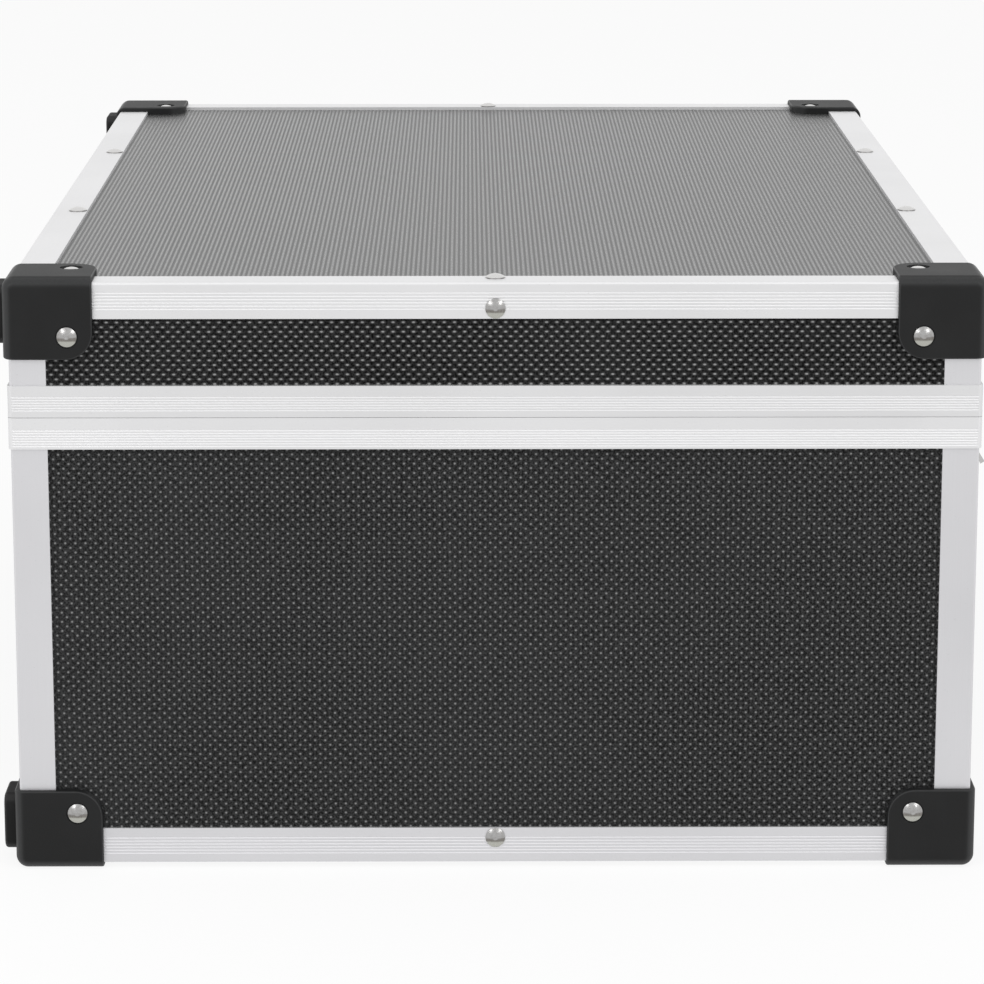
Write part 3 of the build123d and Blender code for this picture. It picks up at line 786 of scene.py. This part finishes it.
@dataclass
class FoamPads:
    """The foam sheets in base and lid, softly uneven where they are glued down."""

    cells_long: int = 96
    cells_wide: int = 64
    edge_round: float = 1.6 * MM
    ripple: float = 0.25 * MM
    ripple_pitch: float = 31.0 * MM

    def build(self) -> None:
        """Make both pads and let them stand for their solids."""
        finish = FeltedFoam().material()
        for node, body, up in (("base_foam", Body.CASE, 1), ("lid_foam", Body.LID, -1)):
            pad = self._pad(node, up)
            pad.data.materials.append(finish)
            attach(pad, body.value)
            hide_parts(node)
            log.info("built %s", pad.name)

    def _pad(self, node: str, up: int) -> bpy.types.Object:
        """A pad in the space of its solid, with a rounded and faintly rippled face.

        Args:
            node: The solid it stands for.
            up: 1 if its soft face looks up, and -1 if it looks down.

        Returns:
            The pad.
        """
        low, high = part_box(node)
        glued, soft = (low.z, high.z) if up > 0 else (high.z, low.z)
        mesh = bmesh.new()
        rings = []
        for is_soft in (False, True):
            grid = []
            for i in range(self.cells_long + 1):
                x = low.x + (high.x - low.x) * i / self.cells_long
                row = []
                for j in range(self.cells_wide + 1):
                    y = low.y + (high.y - low.y) * j / self.cells_wide
                    inset = min(x - low.x, high.x - x, y - low.y, high.y - y)
                    z = soft - up * self._drop(x, y, inset) if is_soft else glued
                    row.append(mesh.verts.new((x, y, z)))
                grid.append(row)
            rings.append(grid)
            self._face(mesh, grid, looks_up=is_soft == (up > 0))
        self._sides(mesh, rings)
        bmesh.ops.recalc_face_normals(mesh, faces=mesh.faces)
        data = bpy.data.meshes.new(f"{node}_pad")
        mesh.to_mesh(data)
        mesh.free()
        data.shade_smooth()
        pad = bpy.data.objects.new(f"{node}_pad", data)
        bpy.context.scene.collection.objects.link(pad)
        return pad

    def _drop(self, x: float, y: float, inset: float) -> float:
        """How far the soft face lies inside its solid's face.

        Args:
            x: Place along the case.
            y: Place across the case.
            inset: Distance from the nearest edge of the pad.

        Returns:
            The distance, in metres.
        """
        fall = max(0.0, 1 - inset / self.edge_round)
        rounding = self.edge_round * (1 - math.sqrt(max(0.0, 1 - fall**2)))
        turn = math.tau / self.ripple_pitch
        wave = math.sin(x * turn) * math.sin(y * turn)
        return rounding + self.ripple * (0.5 + 0.5 * wave) * (1 - fall)

    def _face(self, mesh: bmesh.types.BMesh, grid: list, looks_up: bool) -> None:
        """Fill one grid of points with square faces.

        Args:
            mesh: The pad's mesh.
            grid: Its points, row by row.
            looks_up: Whether the faces look up or down.
        """
        for i in range(self.cells_long):
            for j in range(self.cells_wide):
                quad = [grid[i][j], grid[i + 1][j], grid[i + 1][j + 1], grid[i][j + 1]]
                mesh.faces.new(quad if looks_up else quad[::-1])

    def _sides(self, mesh: bmesh.types.BMesh, rings: list) -> None:
        """Close the gap between the two faces of a pad."""
        bottom, top = rings
        loop = [(i, 0) for i in range(self.cells_long)]
        loop += [(self.cells_long, j) for j in range(self.cells_wide)]
        loop += [(i, self.cells_wide) for i in range(self.cells_long, 0, -1)]
        loop += [(0, j) for j in range(self.cells_wide, 0, -1)]
        for (i, j), (k, m) in zip(loop, loop[1:] + loop[:1]):
            mesh.faces.new([bottom[i][j], bottom[k][m], top[k][m], top[i][j]])


@dataclass(frozen=True)
class SoftBox:
    """A pair of square lamps, left and right of the case, that look at its middle."""

    name: str
    size: float
    power: float
    place: tuple[float, float, float]
    mirrored: bool

    def build(self) -> None:
        """Hang both lamps."""
        for side in (-1, 1):
            self._lamp(side)

    def _lamp(self, side: int) -> None:
        """Hang one of the two lamps.

        Args:
            side: 1 for the side it was placed on, and -1 for the other.
        """
        name = f"{self.name}_{'left' if side > 0 else 'right'}"
        data = bpy.data.lights.new(name, "AREA")
        data.shape = "SQUARE"
        data.size = self.size
        data.energy = self.power
        lamp = bpy.data.objects.new(name, data)
        bpy.context.scene.collection.objects.link(lamp)
        lamp.location = (self.place[0], side * self.place[1], self.place[2])
        middle = (cad_box[0] + cad_box[1]) / 2
        lamp.rotation_mode = "QUATERNION"
        lamp.rotation_quaternion = (middle - lamp.location).to_track_quat("-Z", "Y")
        lamp.visible_glossy = self.mirrored


@dataclass
class Studio:
    """A pale floor, soft lamps, a white surround and the camera."""

    floor_half: float = 8.0
    floor_colour: Colour = grey(0.90)
    floor_white: float = 0.88
    ambient: float = 0.62
    lamps: tuple[SoftBox, ...] = (
        SoftBox("fill_box", size=1.8, power=5.0, place=(-0.9, 0.62, 1.45), mirrored=False),
        SoftBox("soft_box", size=1.8, power=7.0, place=(-0.9, 0.62, 1.45), mirrored=True),
        SoftBox("small_box", size=0.4, power=2.4, place=(-1.16, 0.81, 0.90), mirrored=True),
    )
    camera_place: Vector = Vector((-1.2658, 0.0075, 0.3458))
    camera_pitch: float = math.radians(12.57)
    camera_yaw: float = math.radians(-0.351)
    camera_lens: float = 147.86
    camera_sensor: float = 36.0
    camera_reach: float = 50.0

    def build(self) -> None:
        """Set up floor, light and camera."""
        self._floor()
        self._world()
        for lamp in self.lamps:
            lamp.build()
        self._camera()
        log.info("studio ready")

    def _seen(self, graph: Graph) -> Shade:
        """One for the rays that look at or mirror the surround, and zero for those that light."""
        path = graph.node("ShaderNodeLightPath", {}, {})
        kinds = ("Is Camera Ray", "Is Glossy Ray", "Is Transmission Ray")
        camera, glossy, through = [Shade(graph, path.outputs[kind]) for kind in kinds]
        return camera.larger(glossy).larger(through)

    def _floor(self) -> None:
        """A white floor that keeps a soft shadow."""
        mesh = bmesh.new()
        bmesh.ops.create_grid(mesh, x_segments=1, y_segments=1, size=self.floor_half)
        data = bpy.data.meshes.new("floor")
        mesh.to_mesh(data)
        mesh.free()
        floor = bpy.data.objects.new("floor", data)
        bpy.context.scene.collection.objects.link(floor)
        made, graph = new_graph("white_floor")
        diffuse = graph.node("ShaderNodeBsdfDiffuse", {}, {"Color": self.floor_colour})
        glow = graph.node("ShaderNodeEmission", {}, {"Color": grey(1.0), "Strength": 1.0})
        factor = self._seen(graph) * self.floor_white
        shaders = {0: factor, 1: diffuse.outputs[0], 2: glow.outputs[0]}
        mixed = graph.node("ShaderNodeMixShader", {}, shaders)
        graph.node("ShaderNodeOutputMaterial", {}, {"Surface": mixed.outputs[0]})
        data.materials.append(made)

    def _world(self) -> None:
        """White where it is looked at, and plain soft light elsewhere."""
        world = bpy.data.worlds.new("white_surround")
        bpy.context.scene.world = world
        world.use_nodes = True
        graph = Graph(world.node_tree)
        strength = self.ambient + self._seen(graph) * (1.0 - self.ambient)
        back = graph.node("ShaderNodeBackground", {}, {"Color": grey(1.0), "Strength": strength})
        graph.node("ShaderNodeOutputWorld", {}, {"Surface": back.outputs[0]})

    def _camera(self) -> None:
        """The camera at the photograph's viewing angle."""
        data = bpy.data.cameras.new("camera")
        data.sensor_width = self.camera_sensor
        data.lens = self.camera_lens
        data.clip_end = self.camera_reach
        camera = bpy.data.objects.new("camera", data)
        camera.location = self.camera_place
        quarter = math.pi / 2
        camera.rotation_euler = (quarter - self.camera_pitch, 0.0, self.camera_yaw - quarter)
        scene = bpy.context.scene
        scene.collection.objects.link(camera)
        scene.camera = camera


def main() -> None:
    """Build every sub-assembly and the studio round it."""
    logging.basicConfig(level=logging.INFO, format="%(message)s", stream=sys.stdout)
    bpy.context.scene.view_settings.view_transform = "Standard"
    for assembly in (Panels(), EdgeFrame(), Mouldings(), Metalwork(), FoamPads(), Studio()):
        assembly.build()


if __name__ == "__main__":
    main()
